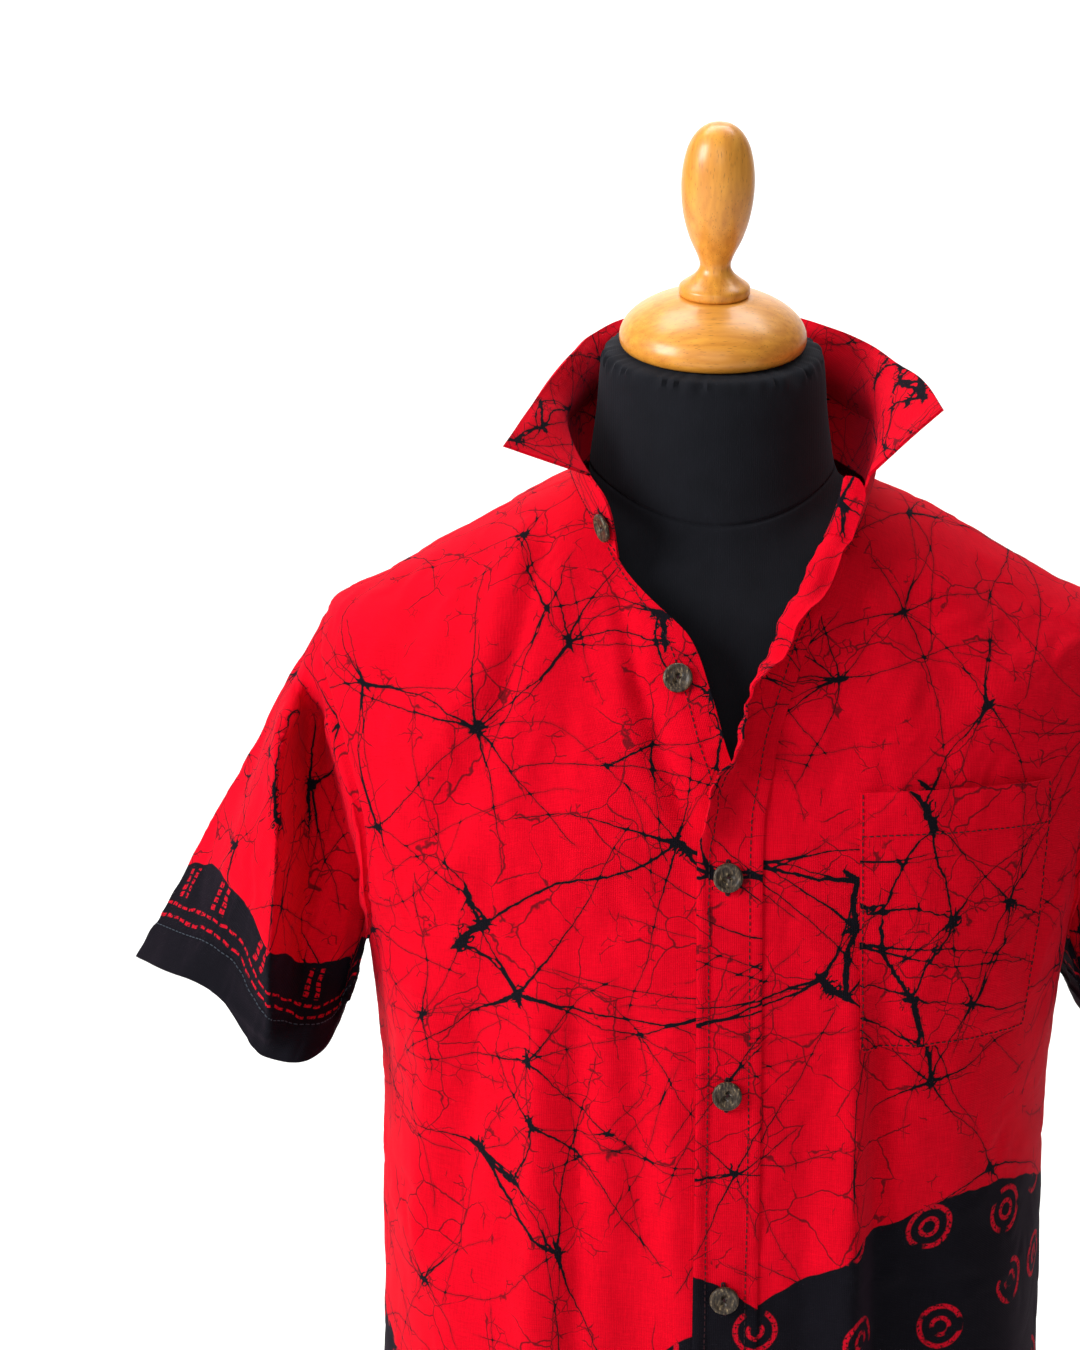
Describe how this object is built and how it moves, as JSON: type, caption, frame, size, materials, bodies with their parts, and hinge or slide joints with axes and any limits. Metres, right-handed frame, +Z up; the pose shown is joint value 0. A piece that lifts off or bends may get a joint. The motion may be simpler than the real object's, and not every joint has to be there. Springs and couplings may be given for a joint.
{
  "type": "batik shirt on a limbless dress form",
  "caption": "Short-sleeved batik shirt with popped open collar, placket, chest pocket and shell buttons, on a black neck-capped dress form.",
  "frame": {"origin": "middle of the round base's underside, which stands on the floor or table", "axes": "+Z up, the shirt's front faces -Y, and the wearer's left is +X"},
  "size_m": [0.63, 0.3, 1.0266],
  "materials": {
    "batik_cotton": "plain-woven cotton, crimson with a black wax-resist crackle",
    "coconut_shell": "turned and polished coconut shell, brown with pale flecks",
    "black_jersey": "black cotton jersey stretched over a padded form",
    "varnished_beech": "turned beech, honey-coloured gloss varnish"
  },
  "bodies": {
    "root": {"shirt_front_right": "batik_cotton", "shirt_front_left": "batik_cotton", "shirt_back": "batik_cotton", "shirt_sleeve_right": "batik_cotton", "shirt_sleeve_left": "batik_cotton", "shirt_collar_stand": "batik_cotton", "shirt_collar_leaf": "batik_cotton", "shirt_placket": "batik_cotton", "shirt_pocket": "batik_cotton", "button_1": "coconut_shell", "button_2": "coconut_shell", "button_3": "coconut_shell", "button_4": "coconut_shell", "button_5": "coconut_shell", "button_6": "coconut_shell", "button_7": "coconut_shell", "form_torso": "black_jersey", "form_neck_cap": "varnished_beech", "form_finial": "varnished_beech", "form_pole": "varnished_beech", "form_base": "varnished_beech"}
  },
  "joints": []
}
